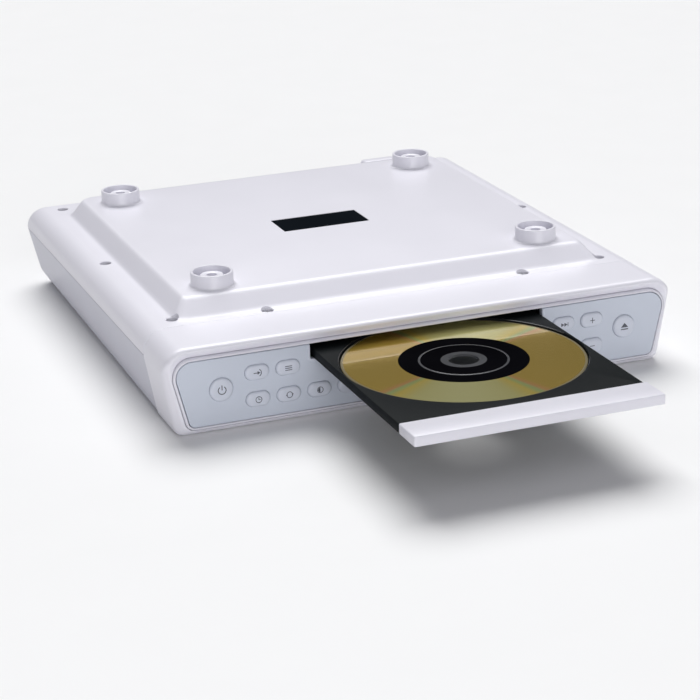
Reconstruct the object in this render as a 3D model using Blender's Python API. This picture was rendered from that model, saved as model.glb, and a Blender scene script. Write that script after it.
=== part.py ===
"""Under-cabinet CD radio with its disc tray open, lying on its underside.

Metres, +Z up. The origin is the centre of the flat underside, -Y is the front with the control
fascia and the tray, and +Z is the side that is screwed against a cabinet.
"""

import math

import bmesh
import bpy
from mathutils import Matrix, Vector

MM = 0.001
GAP = 0.3 * MM

# Housing: heights from the underside, half widths from the centre line
DEPTH = 295.0 * MM
FRONT = -DEPTH / 2
SEAM_Y = FRONT + 36.0 * MM
WALL = 2.4 * MM
WAIST_Z = 34.6 * MM
FLANGE_Z = 46.6 * MM
PLATEAU_Z = 55.4 * MM
WAIST_HALF = 138.8 * MM
EDGE_ROUND = FLANGE_Z - WAIST_Z
REAR_CORNER = 8.5 * MM

# The lower housing narrows downwards and turns in near the underside. In mm: height, half width at
# the seam, half width at the rear, how far the rear wall has moved in, radius of the rear corners
CASE_LEVELS = (
    (0.0, 129.0, 126.0, 9.5, 5.0),
    (1.5, 131.5, 128.0, 7.8, 5.5),
    (4.0, 133.0, 130.2, 6.6, 6.0),
    (9.0, 134.2, 133.4, 5.0, 6.5),
    (34.6, 138.8, 138.8, 0.0, 8.5),
)

# Control fascia: an upside-down trapezoid in the XZ plane
FASCIA_LOW = 5.6 * MM
FASCIA_HIGH = 39.6 * MM
FASCIA_LOW_HALF = 126.4 * MM
FASCIA_HIGH_HALF = 134.4 * MM
FASCIA_LOW_ROUND = 3.5 * MM
FASCIA_HIGH_ROUND = 8.0 * MM
FASCIA_Y = FRONT + 0.2 * MM
FASCIA_THICK = 2.8 * MM
SLOT_HALF = 63.3 * MM
SLOT_LOW = 32.1 * MM

# Cabinet bosses on the plateau
BOSS_X = 91.6 * MM
BOSS_FRONT_Y = FRONT + 67.6 * MM
BOSS_REAR_Y = FRONT + 244.6 * MM
BOSS_RADIUS = 11.05 * MM
BOSS_HEIGHT = 7.5 * MM
BOSS_BORE = 9.5 * MM
SPIGOT_RADIUS = 6.0 * MM
SPIGOT_BORE = 2.7 * MM
SPIGOT_HEIGHT = 5.6 * MM

# Disc tray, in its open place; closing moves it along +Y by TRAY_TRAVEL
TRAY_TRAVEL = 132.0 * MM
TRAY_LOW = 33.7 * MM
RAIL_LOW = 32.4 * MM
RAIL_WIDTH = 2.2 * MM
TRAY_HIGH = 37.2 * MM
TRAY_HALF = 61.8 * MM
TRAY_REAR_Y = FRONT + 34.0 * MM
FLAP_HALF = 62.5 * MM
FLAP_LOW = 33.0 * MM
FLAP_HIGH = 38.2 * MM
FLAP_FRONT_Y = FRONT - 132.4 * MM
FLAP_DEPTH = 18.2 * MM
DISC_Y = FRONT - 44.2 * MM
DISC_RADIUS = 60.0 * MM
DISC_HOLE = 7.5 * MM
DISC_THICK = 1.2 * MM
DISC_LOW = 35.1 * MM
RECESS_RADIUS = 60.7 * MM
RECESS_Z = DISC_LOW - 0.2 * MM
SMALL_RECESS_RADIUS = 40.5 * MM
SMALL_RECESS_Z = RECESS_Z - 0.4 * MM

# Drive of the tray
TOOTH = 0.8 * MM
RACK_X = -55.0 * MM
DRIVE_TEETH = 24
DRIVE_RADIUS = DRIVE_TEETH * TOOTH / 2
DRIVE_X = RACK_X + DRIVE_RADIUS
DRIVE_Y = FRONT + 29.0 * MM
SMALL_TEETH = 12
SMALL_RADIUS = SMALL_TEETH * TOOTH / 2
PULLEY_X = DRIVE_X + DRIVE_RADIUS + SMALL_RADIUS
PULLEY_RADIUS = 9.0 * MM
PULLEY_LOW = 22.0 * MM
PULLEY_HIGH = 25.0 * MM
MOTOR_X = -4.0 * MM
MOTOR_PULLEY_RADIUS = 3.0 * MM

# Playing mechanism under the closed tray's disc
SPINDLE_Y = DISC_Y + TRAY_TRAVEL
DECK_LOW = 20.0 * MM
DECK_HIGH = 22.0 * MM
PLATFORM_Z = 29.9 * MM
PLATFORM_RADIUS = 15.5 * MM
HUB_RADIUS = 7.1 * MM
LENS_Y = SPINDLE_Y + 24.0 * MM

# Control keys on the fascia: name, x and height of the centre in mm, round or pill
KEY_PILL_WIDTH = 12.9 * MM
KEY_PILL_HEIGHT = 8.0 * MM
KEY_ROUND_RADIUS = 6.25 * MM
UPPER_ROW = 29.6
LOWER_ROW = 15.6
MIDDLE_ROW = 23.4
KEYS = (
    ("key_power", -110.0, MIDDLE_ROW, True),
    ("key_source", -91.4, UPPER_ROW, False),
    ("key_timer", -91.4, LOWER_ROW, False),
    ("key_program", -75.3, UPPER_ROW, False),
    ("key_repeat", -75.3, LOWER_ROW, False),
    ("key_dimmer", -59.2, LOWER_ROW, False),
    ("key_snooze", -43.1, LOWER_ROW, False),
    ("key_play", 43.1, LOWER_ROW, False),
    ("key_stop", 59.2, LOWER_ROW, False),
    ("key_previous", 75.3, LOWER_ROW, False),
    ("key_next", 75.3, UPPER_ROW, False),
    ("key_volume_down", 91.4, LOWER_ROW, False),
    ("key_volume_up", 91.4, UPPER_ROW, False),
    ("key_eject", 110.0, MIDDLE_ROW, True),
)

# Screws that hold the top cover: name, x, y from the front edge, whether it sits deep in its hole
SCREWS = (
    ("screw_front_left", -71.3, 40.4, False),
    ("screw_front_right", 71.3, 40.4, False),
    ("screw_corner_front_left", -119.6, 47.8, True),
    ("screw_corner_front_right", 119.6, 47.8, True),
    ("screw_side_left", -124.9, 157.2, True),
    ("screw_side_right", 124.9, 157.2, True),
    ("screw_corner_rear_left", -119.6, 275.0, True),
    ("screw_corner_rear_right", 119.6, 275.0, True),
)
SCREW_HOLE = 3.1 * MM
SCREW_HEAD = 2.6 * MM
SCREW_SHANK = 1.25 * MM
SHALLOW_SINK = 0.9 * MM
DEEP_SINK = 3.8 * MM
POST_RADIUS = 3.6 * MM

# Speakers that fire down through the underside
SPEAKER_X = 78.0 * MM
SPEAKER_Y = FRONT + 238.0 * MM
SPEAKER_RADIUS = 33.0 * MM
GRILLE_RADIUS = 29.0 * MM

# How finely the round shapes are faceted
ROUND_STEPS = 4
CIRCLE_STEPS = 24
DISC_STEPS = 48

for old in list(bpy.data.objects):
    bpy.data.objects.remove(old)


def material(name, colour, roughness, metallic=0.0):
    made = bpy.data.materials.new(name)
    made.use_nodes = True
    shader = made.node_tree.nodes["Principled BSDF"]
    shader.inputs["Base Color"].default_value = (*colour, 1.0)
    shader.inputs["Roughness"].default_value = roughness
    shader.inputs["Metallic"].default_value = metallic
    return made


WHITE = material("white_plastic", (0.84, 0.83, 0.89), 0.32)
SHELL = material("shell_plastic", (0.74, 0.74, 0.82), 0.38)
FASCIA = material("fascia_plastic", (0.55, 0.59, 0.65), 0.42)
KEY = material("key_plastic", (0.60, 0.63, 0.69), 0.40)
BLACK = material("black_plastic", (0.012, 0.013, 0.015), 0.35)
GREY = material("grey_plastic", (0.18, 0.18, 0.19), 0.5)
LENS = material("dark_lens", (0.02, 0.025, 0.03), 0.08)
DISC = material("disc_gold", (0.46, 0.36, 0.10), 0.18, 0.9)
BOARD = material("circuit_board", (0.02, 0.16, 0.07), 0.5)
STEEL = material("steel", (0.62, 0.62, 0.64), 0.3, 1.0)
ACETAL = material("acetal", (0.85, 0.84, 0.78), 0.4)
RUBBER = material("rubber", (0.02, 0.02, 0.02), 0.75)
CONE = material("speaker_paper", (0.05, 0.05, 0.055), 0.85)
LABEL = material("label_print", (0.008, 0.009, 0.012), 0.3)


# ---------------------------------------------------------------- outlines


def rounded(corners, radii, steps=ROUND_STEPS):
    """The outline through the corners, each one turned into an arc of its radius."""
    points = []
    for index, corner in enumerate(corners):
        here = Vector(corner)
        before = (Vector(corners[index - 1]) - here).normalized()
        after = (Vector(corners[(index + 1) % len(corners)]) - here).normalized()
        half = before.angle(after) / 2
        radius = radii[index]
        centre = here + (before + after).normalized() * radius / math.sin(half)
        arm = here + before * radius / math.tan(half) - centre
        turn = math.pi - 2 * half
        if before.x * after.y - before.y * after.x > 0:
            turn = -turn
        for step in range(steps + 1):
            angle = turn * step / steps
            cosine = math.cos(angle)
            sine = math.sin(angle)
            spun = Vector((arm.x * cosine - arm.y * sine, arm.x * sine + arm.y * cosine))
            points.append(tuple(centre + spun))
    return points


def rectangle(half_x, half_y, radius, centre=(0, 0), steps=ROUND_STEPS):
    corners = [(-half_x, -half_y), (half_x, -half_y), (half_x, half_y), (-half_x, half_y)]
    moved = [(x + centre[0], y + centre[1]) for x, y in corners]
    return rounded(moved, [radius] * 4, steps)


def circle(radius, steps=CIRCLE_STEPS, centre=(0, 0)):
    turns = [2 * math.pi * step / steps for step in range(steps)]
    return [(centre[0] + radius * math.cos(a), centre[1] + radius * math.sin(a)) for a in turns]


def flat(outline, z):
    """An outline laid in the XY plane at height z."""
    return [(x, y, z) for x, y in outline]


def upright(outline, y):
    """An outline stood in the XZ plane at depth y."""
    return [(x, y, z) for x, z in outline]


# ---------------------------------------------------------------- solids


def new_object(name, mesh, finish, sharp=30):
    mesh.shade_smooth()
    mesh.set_sharp_from_angle(angle=math.radians(sharp))
    made = bpy.data.objects.new(name, mesh)
    bpy.context.scene.collection.objects.link(made)
    if finish:
        mesh.materials.append(finish)
    return made


def loft_mesh(name, loops, ring=False):
    """A skin over the loops in turn: its ends are capped, or a ring's last loop joins its first."""
    shape = bmesh.new()
    rows = [[shape.verts.new(point) for point in loop] for loop in loops]
    pairs = list(zip(rows, rows[1:]))
    if ring:
        pairs.append((rows[-1], rows[0]))
    for first, second in pairs:
        for index in range(len(first)):
            following = (index + 1) % len(first)
            shape.faces.new((first[index], first[following], second[following], second[index]))
    if not ring:
        shape.faces.new(list(reversed(rows[0])))
        shape.faces.new(rows[-1])
    bmesh.ops.recalc_face_normals(shape, faces=shape.faces)
    mesh = bpy.data.meshes.new(name)
    shape.to_mesh(mesh)
    shape.free()
    return mesh


def loft(name, loops, finish, ring=False, sharp=30):
    return new_object(name, loft_mesh(name, loops, ring), finish, sharp)


def block(name, low, high, finish):
    outline = [(low[0], low[1]), (high[0], low[1]), (high[0], high[1]), (low[0], high[1])]
    return loft(name, [flat(outline, low[2]), flat(outline, high[2])], finish)


def turned(name, profile, centre, finish, axis="Z", steps=CIRCLE_STEPS, ring=False, sharp=30):
    """A solid of revolution from (radius, height) pairs, with its origin at the centre."""
    loops = [flat(circle(radius, steps), height) for radius, height in profile]
    made = loft(name, loops, finish, ring, sharp)
    turn = {"Z": Matrix(), "Y": Matrix.Rotation(-math.pi / 2, 4, "X")}[axis]
    made.matrix_world = Matrix.Translation(centre) @ turn
    return made


def boolean(target, tool, operation):
    tool.hide_render = True
    tool.display_type = "WIRE"
    step = target.modifiers.new(tool.name, "BOOLEAN")
    step.operation = operation
    step.solver = "EXACT"
    step.object = tool


def cut(target, tool):
    boolean(target, tool, "DIFFERENCE")


def weld(target, tool):
    boolean(target, tool, "UNION")


# ---------------------------------------------------------------- housing


def plan(z, inset=0.0):
    """The outline of the lower housing at height z, drawn in by an inset."""
    above = next(index for index, level in enumerate(CASE_LEVELS) if index and z <= level[0] * MM)
    low = CASE_LEVELS[above - 1]
    high = CASE_LEVELS[above]
    share = (z / MM - low[0]) / (high[0] - low[0])
    front_half, rear_half, rear_inset, corner = (
        (first + (second - first) * share) * MM for first, second in zip(low[1:], high[1:]))
    front_half -= inset
    rear_half -= inset
    rear = DEPTH / 2 - rear_inset - inset
    front = SEAM_Y + GAP + inset
    corners = [(-front_half, front), (front_half, front), (rear_half, rear), (-rear_half, rear)]
    corner -= inset
    return rounded(corners, [0.5 * MM, 0.5 * MM, corner, corner])


def cover_plan(half, rear, corner, front=SEAM_Y + GAP):
    corners = [(-half, front), (half, front), (half, rear), (-half, rear)]
    return rounded(corners, [0.5 * MM, 0.5 * MM, corner, corner])


def plateau_plan(half, front, rear, front_corner, rear_corner):
    corners = [(-half, FRONT + front), (half, FRONT + front), (half, FRONT + rear)]
    corners.append((-half, FRONT + rear))
    return rounded(corners, [front_corner, front_corner, rear_corner, rear_corner])


def make_bottom_case():
    rim = WAIST_Z - GAP
    loops = [flat(plan(level[0] * MM), level[0] * MM) for level in CASE_LEVELS[:-1]]
    loops += [
        flat(plan(rim), rim),
        flat(plan(rim, WALL), rim),
        flat(plan(WALL, WALL), WALL),
    ]
    case = loft("bottom_case", loops, SHELL)
    window = block(
        "cut_case_front",
        (-66.5 * MM, FRONT + 30 * MM, 2.9 * MM),
        (66.5 * MM, FRONT + 42 * MM, 41 * MM),
        None,
    )
    cut(case, window)
    for side in (-1, 1):
        profile = [(GRILLE_RADIUS + GAP, -MM), (GRILLE_RADIUS + GAP, 5 * MM)]
        place = (side * SPEAKER_X, SPEAKER_Y, 0)
        cut(case, turned(f"cut_speaker_{side}", profile, place, None))
    for name, x, y, deep in SCREWS:
        if name.startswith("screw_front"):
            continue
        post_top = FLANGE_Z - (DEEP_SINK if deep else SHALLOW_SINK) - 2.0 * MM
        place = (x * MM, FRONT + y * MM, 0)
        weld(case, turned(
            f"post_{name}", [(POST_RADIUS, 1.0 * MM), (POST_RADIUS, post_top)], place, None, steps=12))
        cut(case, turned(
            f"cut_post_{name}",
            [(SCREW_SHANK + GAP, post_top - 9 * MM), (SCREW_SHANK + GAP, post_top + MM)],
            place, None, steps=12))
    return case


def make_top_cover():
    rear = DEPTH / 2
    loops = [
        flat(plateau_plan(110.8 * MM, 54.8 * MM, 262.6 * MM, 3.0 * MM, 7.0 * MM), PLATEAU_Z),
        flat(plateau_plan(112.0 * MM, 53.2 * MM, 263.4 * MM, 4.0 * MM, 7.8 * MM), PLATEAU_Z - 0.5 * MM),
        flat(plateau_plan(116.4 * MM, 46.2 * MM, 265.6 * MM, 5.5 * MM, 9.4 * MM), FLANGE_Z + 1.3 * MM),
        flat(plateau_plan(117.8 * MM, 43.4 * MM, 266.4 * MM, 6.5 * MM, 10.0 * MM), FLANGE_Z + 0.3 * MM),
        flat(plateau_plan(119.6 * MM, 41.0 * MM, 267.6 * MM, 8.0 * MM, 11.0 * MM), FLANGE_Z),
    ]
    arc_steps = 4
    for step in range(arc_steps + 1):
        angle = math.pi / 2 * step / arc_steps
        out = EDGE_ROUND * (1 - math.sin(angle))
        height = WAIST_Z + EDGE_ROUND * math.cos(angle)
        corner = REAR_CORNER - 0.6 * out
        loops.append(flat(cover_plan(WAIST_HALF - out, rear - out, corner), height))
    inner_front = SEAM_Y + GAP + WALL
    inner_round = REAR_CORNER - WALL
    ceiling = FLANGE_Z - WALL
    for out, height in ((WALL, WAIST_Z), (5.2 * MM, 41.0 * MM), (10.0 * MM, ceiling)):
        corner = max(inner_round - (out - WALL), 4 * MM)
        loops.append(flat(cover_plan(WAIST_HALF - out, rear - out, corner, inner_front), height))
    top = PLATEAU_Z - WALL
    loops.append(flat(plateau_plan(114.6 * MM, 48.6 * MM, 263.4 * MM, 4.0 * MM, 7.6 * MM), ceiling))
    loops.append(flat(plateau_plan(109.6 * MM, 56.6 * MM, 260.6 * MM, 3.0 * MM, 6.4 * MM), top))
    cover = loft("top_cover", loops, WHITE, sharp=25)
    cut(cover, block(
        "cut_cover_front",
        (-66.5 * MM, FRONT + 30 * MM, 30 * MM),
        (66.5 * MM, FRONT + 42 * MM, 41.2 * MM),
        None,
    ))
    pocket = rectangle(25.2 * MM, 12.4 * MM, 0.3 * MM, (-0.9 * MM, FRONT + 154 * MM), 2)
    cut(cover, loft(
        "cut_label_pocket", [flat(pocket, PLATEAU_Z - 0.8 * MM), flat(pocket, PLATEAU_Z + MM)], None))
    for side in (-1, 1):
        for row, y in (("front", BOSS_FRONT_Y), ("rear", BOSS_REAR_Y)):
            place = (side * BOSS_X, y, PLATEAU_Z)
            weld(cover, turned(
                f"boss_{row}_{side}", [(BOSS_RADIUS, -MM), (BOSS_RADIUS, BOSS_HEIGHT)], place, None))
            groove = [(SPIGOT_RADIUS, 0.2 * MM), (SPIGOT_RADIUS, 9 * MM)]
            groove += [(BOSS_BORE, 9 * MM), (BOSS_BORE, 0.2 * MM)]
            cut(cover, turned(f"cut_boss_groove_{row}_{side}", groove, place, None, ring=True))
            cut(cover, turned(
                f"cut_boss_top_{row}_{side}",
                [(BOSS_BORE - 0.4 * MM, SPIGOT_HEIGHT), (BOSS_BORE - 0.4 * MM, 9 * MM)],
                place, None))
            cut(cover, turned(
                f"cut_boss_bore_{row}_{side}",
                [(SPIGOT_BORE, 0.2 * MM), (SPIGOT_BORE, 9 * MM)], place, None, steps=16))
    for name, x, y, _ in SCREWS:
        place = (x * MM, FRONT + y * MM, FLANGE_Z)
        cut(cover, turned(
            f"cut_{name}", [(SCREW_HOLE, -8 * MM), (SCREW_HOLE, 5 * MM)], place, None, steps=16))
    guide = [
        (73.0 * MM, FLANGE_Z - MM), (101.0 * MM, FLANGE_Z - MM),
        (101.0 * MM, FLANGE_Z + 4.0 * MM), (99.6 * MM, FLANGE_Z + 5.4 * MM),
        (74.4 * MM, FLANGE_Z + 5.4 * MM), (73.0 * MM, FLANGE_Z + 4.0 * MM),
    ]
    weld(cover, loft(
        "cable_guide", [upright(guide, FRONT + 275.5 * MM), upright(guide, FRONT + 282.5 * MM)], None))
    return cover


def section(low_half, high_half, low, high, low_round, high_round):
    """An upside-down trapezoid in XZ; the numbers are in mm."""
    corners = [(-low_half, low), (low_half, low), (high_half, high), (-high_half, high)]
    scaled = [(x * MM, z * MM) for x, z in corners]
    radii = [low_round * MM, low_round * MM, high_round * MM, high_round * MM]
    return rounded(scaled, radii)


def leaned(outline, side_y, top_y):
    """Stands an outline up with its top edge at another depth than its sides and bottom."""
    points = []
    for x, z in outline:
        share = min(max((z / MM - 33.0) / 9.0, 0.0), 1.0)
        share = share * share * (3 - 2 * share)
        points.append((x, FRONT + (side_y + (top_y - side_y) * share) * MM, z))
    return points


def make_front_bezel():
    rim = section(132.6, 140.95, 0.0, 46.6, 4.6, 12.0)
    loops = [
        leaned(rim, 36.0, 36.0),
        leaned(section(132.4, 140.8, 0.0, 46.6, 4.6, 12.0), 8.0, 3.6),
        leaned(section(132.0, 140.5, 0.5, 46.3, 4.7, 11.8), 5.6, 1.6),
        leaned(section(131.0, 139.3, 1.8, 45.6, 4.9, 11.2), 3.4, 0.6),
        leaned(section(129.8, 138.2, 2.9, 44.8, 5.1, 10.6), 1.9, 0.2),
        leaned(section(128.0, 136.93, 3.6, 41.6, 5.5, 10.0), 1.2, 2.2),
        leaned(section(128.0, 136.93, 3.6, 41.6, 5.5, 10.0), 7.0, 7.0),
        leaned(section(124.8, 132.0, 7.6, 39.9, 3.0, 7.0), 7.0, 7.0),
        leaned(section(124.8, 132.0, 7.6, 39.9, 3.0, 7.0), 9.4, 9.4),
        leaned(section(130.1, 138.0, 2.4, 44.2, 6.0, 9.8), 9.4, 9.4),
        leaned(section(130.3, 138.3, 2.4, 44.2, 6.0, 9.8), 36.0, 36.0),
    ]
    return loft("front_bezel", loops, WHITE, ring=True, sharp=35)


def fascia_outline(offset):
    """The fascia's outline in mm, pushed outwards by an offset."""
    slope = (FASCIA_HIGH_HALF - FASCIA_LOW_HALF) / (FASCIA_HIGH - FASCIA_LOW)
    reach = offset * math.sqrt(1 + slope * slope)
    return section(
        FASCIA_LOW_HALF / MM + reach - offset * slope,
        FASCIA_HIGH_HALF / MM + reach + offset * slope,
        FASCIA_LOW / MM - offset,
        FASCIA_HIGH / MM + offset,
        FASCIA_LOW_ROUND / MM + offset,
        FASCIA_HIGH_ROUND / MM + offset,
    )


def make_fascia_frame():
    stages = ((1.7, 6.7), (1.7, 1.5), (0.7, 0.1), (0.3, 0.1), (0.3, 6.7))
    loops = [upright(fascia_outline(offset), FRONT + depth * MM) for offset, depth in stages]
    return loft("fascia_frame", loops, WHITE, ring=True)


def key_outline(is_round, offset):
    if is_round:
        return circle(KEY_ROUND_RADIUS + offset, 20)
    radius = KEY_PILL_HEIGHT / 2 + offset
    half = KEY_PILL_WIDTH / 2 + offset
    return rectangle(half, radius, radius - 0.01 * MM, steps=3)


def make_fascia_panel():
    low, high = FASCIA_LOW, FASCIA_HIGH
    corners = [
        (-FASCIA_LOW_HALF, low), (FASCIA_LOW_HALF, low), (FASCIA_HIGH_HALF, high),
        (SLOT_HALF, high), (SLOT_HALF, SLOT_LOW), (-SLOT_HALF, SLOT_LOW),
        (-SLOT_HALF, high), (-FASCIA_HIGH_HALF, high),
    ]
    radii = [FASCIA_LOW_ROUND, FASCIA_LOW_ROUND, FASCIA_HIGH_ROUND]
    radii += [0.3 * MM, 0.8 * MM, 0.8 * MM, 0.3 * MM, FASCIA_HIGH_ROUND]
    outline = rounded(corners, radii, 4)
    back = FASCIA_Y + FASCIA_THICK
    panel = loft("fascia_panel", [upright(outline, back), upright(outline, FASCIA_Y)], FASCIA)
    for name, x, z, is_round in KEYS:
        hole = [(px + x * MM, pz + z * MM) for px, pz in key_outline(is_round, 0.0)]
        cut(panel, loft(
            f"cut_{name}", [upright(hole, back + MM), upright(hole, FASCIA_Y - MM)], None))
    window = rectangle(33.0 * MM, 9.0 * MM, 1.0 * MM, (0, 19.6 * MM), 3)
    cut(panel, loft(
        "cut_window", [upright(window, back + MM), upright(window, FASCIA_Y - MM)], None))
    return panel


def make_keys():
    """Each key is a domed cap with a flange behind the fascia panel."""
    back = FASCIA_Y + FASCIA_THICK
    stages = (
        (0.9, back + 2.2 * MM), (0.9, back + 0.4 * MM), (-0.3, back + 0.4 * MM),
        (-0.3, FASCIA_Y - 0.8 * MM), (-1.2, FASCIA_Y - 1.5 * MM),
    )
    for name, x, z, is_round in KEYS:
        loops = [upright(key_outline(is_round, offset * MM), y - FRONT) for offset, y in stages]
        key = loft(name, loops, KEY, sharp=50)
        key.location = (x * MM, FRONT, z * MM)


def make_display():
    lens = rectangle(32.7 * MM, 8.7 * MM, 0.8 * MM, (0, 19.6 * MM), 3)
    loft("display_window", [upright(lens, FRONT + 2.0 * MM), upright(lens, FRONT + 0.4 * MM)], LENS)
    module = ((-35.0 * MM, FRONT + 3.4 * MM, 8.6 * MM), (35.0 * MM, FRONT + 5.7 * MM, 30.2 * MM))
    block("display_module", *module, GREY)
    block(
        "key_board",
        (-118.0 * MM, FRONT + 6.1 * MM, 9.0 * MM), (118.0 * MM, FRONT + 7.7 * MM, 31.4 * MM), BOARD)


def make_label():
    outline = rectangle(24.9 * MM, 12.1 * MM, 0.3 * MM, (-0.9 * MM, FRONT + 154 * MM), 2)
    low = PLATEAU_Z - 0.5 * MM
    loft("rating_label", [flat(outline, low), flat(outline, low + 0.3 * MM)], LABEL)


def make_screws():
    for name, x, y, deep in SCREWS:
        top = FLANGE_Z - (DEEP_SINK if deep else SHALLOW_SINK)
        profile = [
            (SCREW_SHANK, -10.0 * MM), (SCREW_SHANK, -1.7 * MM), (SCREW_HEAD, -1.7 * MM),
            (SCREW_HEAD, -0.5 * MM), (SCREW_HEAD * 0.7, 0.0),
        ]
        screw = turned(name, profile, (x * MM, FRONT + y * MM, top), STEEL, steps=12)
        for index, turn in enumerate((0, math.pi / 2)):
            arm = block(
                f"cut_{name}_cross_{index}",
                (-1.6 * MM, -0.35 * MM, -0.8 * MM), (1.6 * MM, 0.35 * MM, MM), None)
            arm.matrix_world = Matrix.Translation(screw.location) @ Matrix.Rotation(turn, 4, "Z")
            cut(screw, arm)


def make_rear_sockets():
    """A power socket and a line-in socket, in holes of the sloping rear wall."""
    case = bpy.data.objects["bottom_case"]
    for name, x, outer, bore in (("dc_socket", 96.0, 4.6, 2.6), ("line_in_socket", 76.0, 3.6, 1.8)):
        place = (x * MM, DEPTH / 2 - 5.0 * MM, 19.0 * MM)
        hole = [((outer + 0.3) * MM, -6 * MM), ((outer + 0.3) * MM, 8 * MM)]
        cut(case, turned(f"cut_{name}", hole, place, None, axis="Y", steps=16))
        profile = [
            (outer * MM, -9 * MM), (outer * MM, 2.2 * MM), (bore * MM, 2.2 * MM), (bore * MM, -5 * MM)]
        turned(name, profile, place, BLACK, axis="Y", steps=16)


# ---------------------------------------------------------------- speakers and boards


def make_speaker(side, word):
    place = (side * SPEAKER_X, SPEAKER_Y, 0)
    grille = turned(
        f"speaker_grille_{word}", [(GRILLE_RADIUS, 0.4 * MM), (GRILLE_RADIUS, 1.9 * MM)], place, BLACK)
    for row in range(-2, 3):
        offset = row * 9.4 * MM
        reach = math.sqrt((GRILLE_RADIUS - 3 * MM) ** 2 - offset ** 2)
        slot = rectangle(reach, 1.5 * MM, 1.4 * MM, (place[0], place[1] + offset), 2)
        cut(grille, loft(
            f"cut_grille_{word}_{row}", [flat(slot, -MM), flat(slot, 4 * MM)], None))
    frame = [
        (SPEAKER_RADIUS, 3.0 * MM), (SPEAKER_RADIUS, 5.0 * MM), (30.0 * MM, 6.0 * MM),
        (18.0 * MM, 19.0 * MM), (18.0 * MM, 29.0 * MM), (4.0 * MM, 29.0 * MM), (4.0 * MM, 21.0 * MM),
        (14.5 * MM, 19.0 * MM), (27.0 * MM, 5.2 * MM), (28.5 * MM, 3.0 * MM),
    ]
    turned(f"speaker_frame_{word}", frame, place, STEEL, ring=True)
    cone = [
        (27.8 * MM, 2.9 * MM), (26.4 * MM, 4.4 * MM), (11.0 * MM, 16.8 * MM),
        (9.0 * MM, 16.8 * MM), (9.0 * MM, 15.4 * MM), (24.6 * MM, 3.4 * MM),
    ]
    turned(f"speaker_cone_{word}", cone, place, CONE, ring=True)


def make_boards():
    block(
        "main_board",
        (-40.0 * MM, FRONT + 192.0 * MM, 8.0 * MM), (40.0 * MM, FRONT + 280.0 * MM, 9.6 * MM), BOARD)


# ---------------------------------------------------------------- disc tray


def rack_outline(length, start_y):
    """A toothed bar in plan, with its teeth towards +X and its pitch line at RACK_X."""
    pitch = math.pi * TOOTH
    points = [(RACK_X - 3 * MM, start_y + length), (RACK_X - 3 * MM, start_y)]
    root = RACK_X - 0.9 * TOOTH
    tip = RACK_X + 0.75 * TOOTH
    centre_offset = (DRIVE_Y - start_y) % pitch
    count = int((length - centre_offset) / pitch)
    points.append((root, start_y))
    for index in range(count):
        middle = start_y + centre_offset + index * pitch
        if middle - 0.4 * pitch <= start_y:
            continue
        points += [
            (root, middle - 0.30 * pitch), (tip, middle - 0.11 * pitch),
            (tip, middle + 0.11 * pitch), (root, middle + 0.30 * pitch),
        ]
    points.append((root, start_y + length))
    return points


def make_tray():
    front = FLAP_FRONT_Y + FLAP_DEPTH + GAP
    outline = rounded(
        [(-TRAY_HALF, front), (TRAY_HALF, front), (TRAY_HALF, TRAY_REAR_Y), (-TRAY_HALF, TRAY_REAR_Y)],
        [0.5 * MM, 0.5 * MM, 2 * MM, 2 * MM], 3)
    tray = loft("tray", [flat(outline, TRAY_LOW), flat(outline, TRAY_HIGH)], BLACK)
    centre = (0, DISC_Y, 0)
    cut(tray, turned(
        "cut_recess", [(RECESS_RADIUS, RECESS_Z), (RECESS_RADIUS, 0.045)], centre, None,
        steps=DISC_STEPS))
    cut(tray, turned(
        "cut_small_recess",
        [(SMALL_RECESS_RADIUS, SMALL_RECESS_Z), (SMALL_RECESS_RADIUS, 0.045)], centre, None))
    well = rounded(
        [(-19.5 * MM, DISC_Y - 19.5 * MM), (19.5 * MM, DISC_Y - 19.5 * MM),
         (19.5 * MM, DISC_Y + 62 * MM), (-19.5 * MM, DISC_Y + 62 * MM)],
        [19 * MM, 19 * MM, 3 * MM, 3 * MM])
    cut(tray, loft("cut_well", [flat(well, 0.03), flat(well, 0.045)], None))
    rack_start = front + 1.0 * MM
    rack = rack_outline(TRAY_REAR_Y - rack_start - MM, rack_start)
    weld(tray, loft("rack", [flat(rack, RAIL_LOW), flat(rack, TRAY_LOW + 0.5 * MM)], None))
    for side in (-1, 1):
        edges = sorted((side * (TRAY_HALF - 0.3 * MM), side * (TRAY_HALF - RAIL_WIDTH)))
        weld(tray, block(
            f"rail_{side}",
            (edges[0], front + MM, RAIL_LOW), (edges[1], TRAY_REAR_Y - 3 * MM, TRAY_LOW + 0.5 * MM), None))
    return tray


def make_flap():
    low, high = FLAP_LOW, FLAP_HIGH
    middle = ((low + high) / 2, FLAP_FRONT_Y + FLAP_DEPTH / 2)
    stages = ((0.5, 0.0), (0.0, 0.5), (0.0, FLAP_DEPTH / MM))
    loops = []
    for inset, depth in stages:
        half_z = (high - low) / 2 - inset * MM
        half_x = FLAP_HALF - inset * MM
        outline = rectangle(half_x, half_z, 0.6 * MM, (0, middle[0]), 2)
        loops.append(upright(outline, FLAP_FRONT_Y + depth * MM))
    loft("tray_flap", loops, WHITE)


def make_disc():
    profile = [
        (DISC_HOLE, 0), (DISC_RADIUS, 0), (DISC_RADIUS, DISC_THICK), (DISC_HOLE, DISC_THICK)]
    turned("disc", profile, (0, DISC_Y, DISC_LOW), DISC, ring=True, steps=DISC_STEPS)


# ---------------------------------------------------------------- loading drive


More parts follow.
